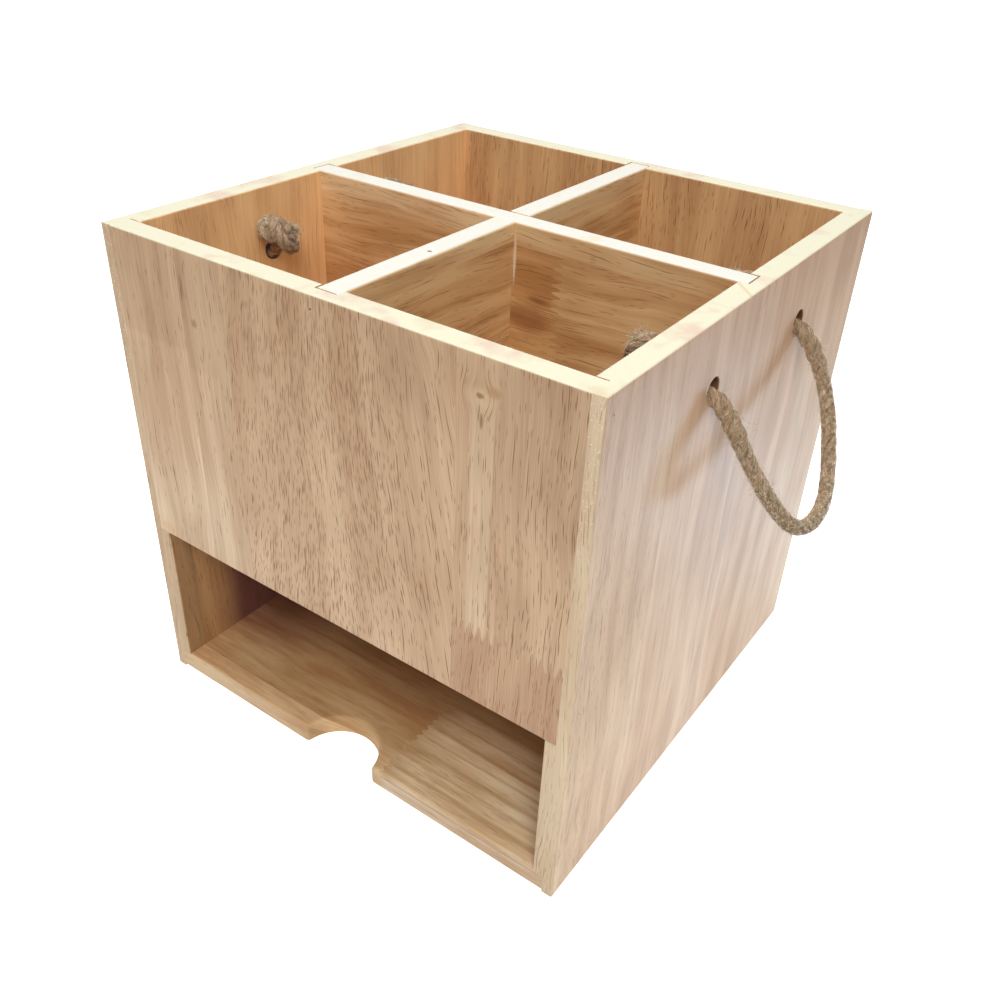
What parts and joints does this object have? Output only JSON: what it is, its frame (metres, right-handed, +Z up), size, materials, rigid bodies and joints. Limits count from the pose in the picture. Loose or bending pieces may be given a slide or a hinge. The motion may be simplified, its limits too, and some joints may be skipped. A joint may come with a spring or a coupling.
{
  "type": "utensil caddy",
  "caption": "Square wooden caddy, open on top, with crossed dividers over a front napkin slot with a finger notch, and a swinging loop of rope on either side as handles.",
  "frame": {"origin": "centre of the footprint, on the table under the base", "axes": "+X to the right and +Y to the back as seen from the front with the napkin slot, +Z up"},
  "size_m": [0.2676, 0.203, 0.2],
  "materials": {
    "rubberwood_outer": "sanded, clear matt",
    "rubberwood_base": "sanded, clear matt",
    "rubberwood_inner": "sanded, clear matt",
    "jute_rope": "twisted, fuzzy",
    "pin_steel": "dull wire"
  },
  "bodies": {
    "caddy": {"front_panel": "rubberwood_outer", "back_panel": "rubberwood_outer", "left_side_panel": "rubberwood_outer", "right_side_panel": "rubberwood_outer", "base_board": "rubberwood_base", "compartment_floor": "rubberwood_inner", "cross_divider": "rubberwood_inner", "long_divider": "rubberwood_inner", "panel_pins": "pin_steel", "left_rope_knot_front": "jute_rope", "left_rope_knot_back": "jute_rope", "right_rope_knot_front": "jute_rope", "right_rope_knot_back": "jute_rope"},
    "left_handle": {"left_rope_handle": "jute_rope"},
    "right_handle": {"right_rope_handle": "jute_rope"}
  },
  "joints": [
    {"name": "right_handle_swing", "type": "hinge", "parent": "caddy", "child": "right_handle", "pos_m": [0.1028, 0.0025, 0.1733], "axis": [0, -1, 0], "range_deg": [-29, 151]},
    {"name": "left_handle_swing", "type": "hinge", "parent": "caddy", "child": "left_handle", "pos_m": [-0.1028, 0.0025, 0.1733], "axis": [0, 1, 0], "range_deg": [-29, 151]}
  ]
}
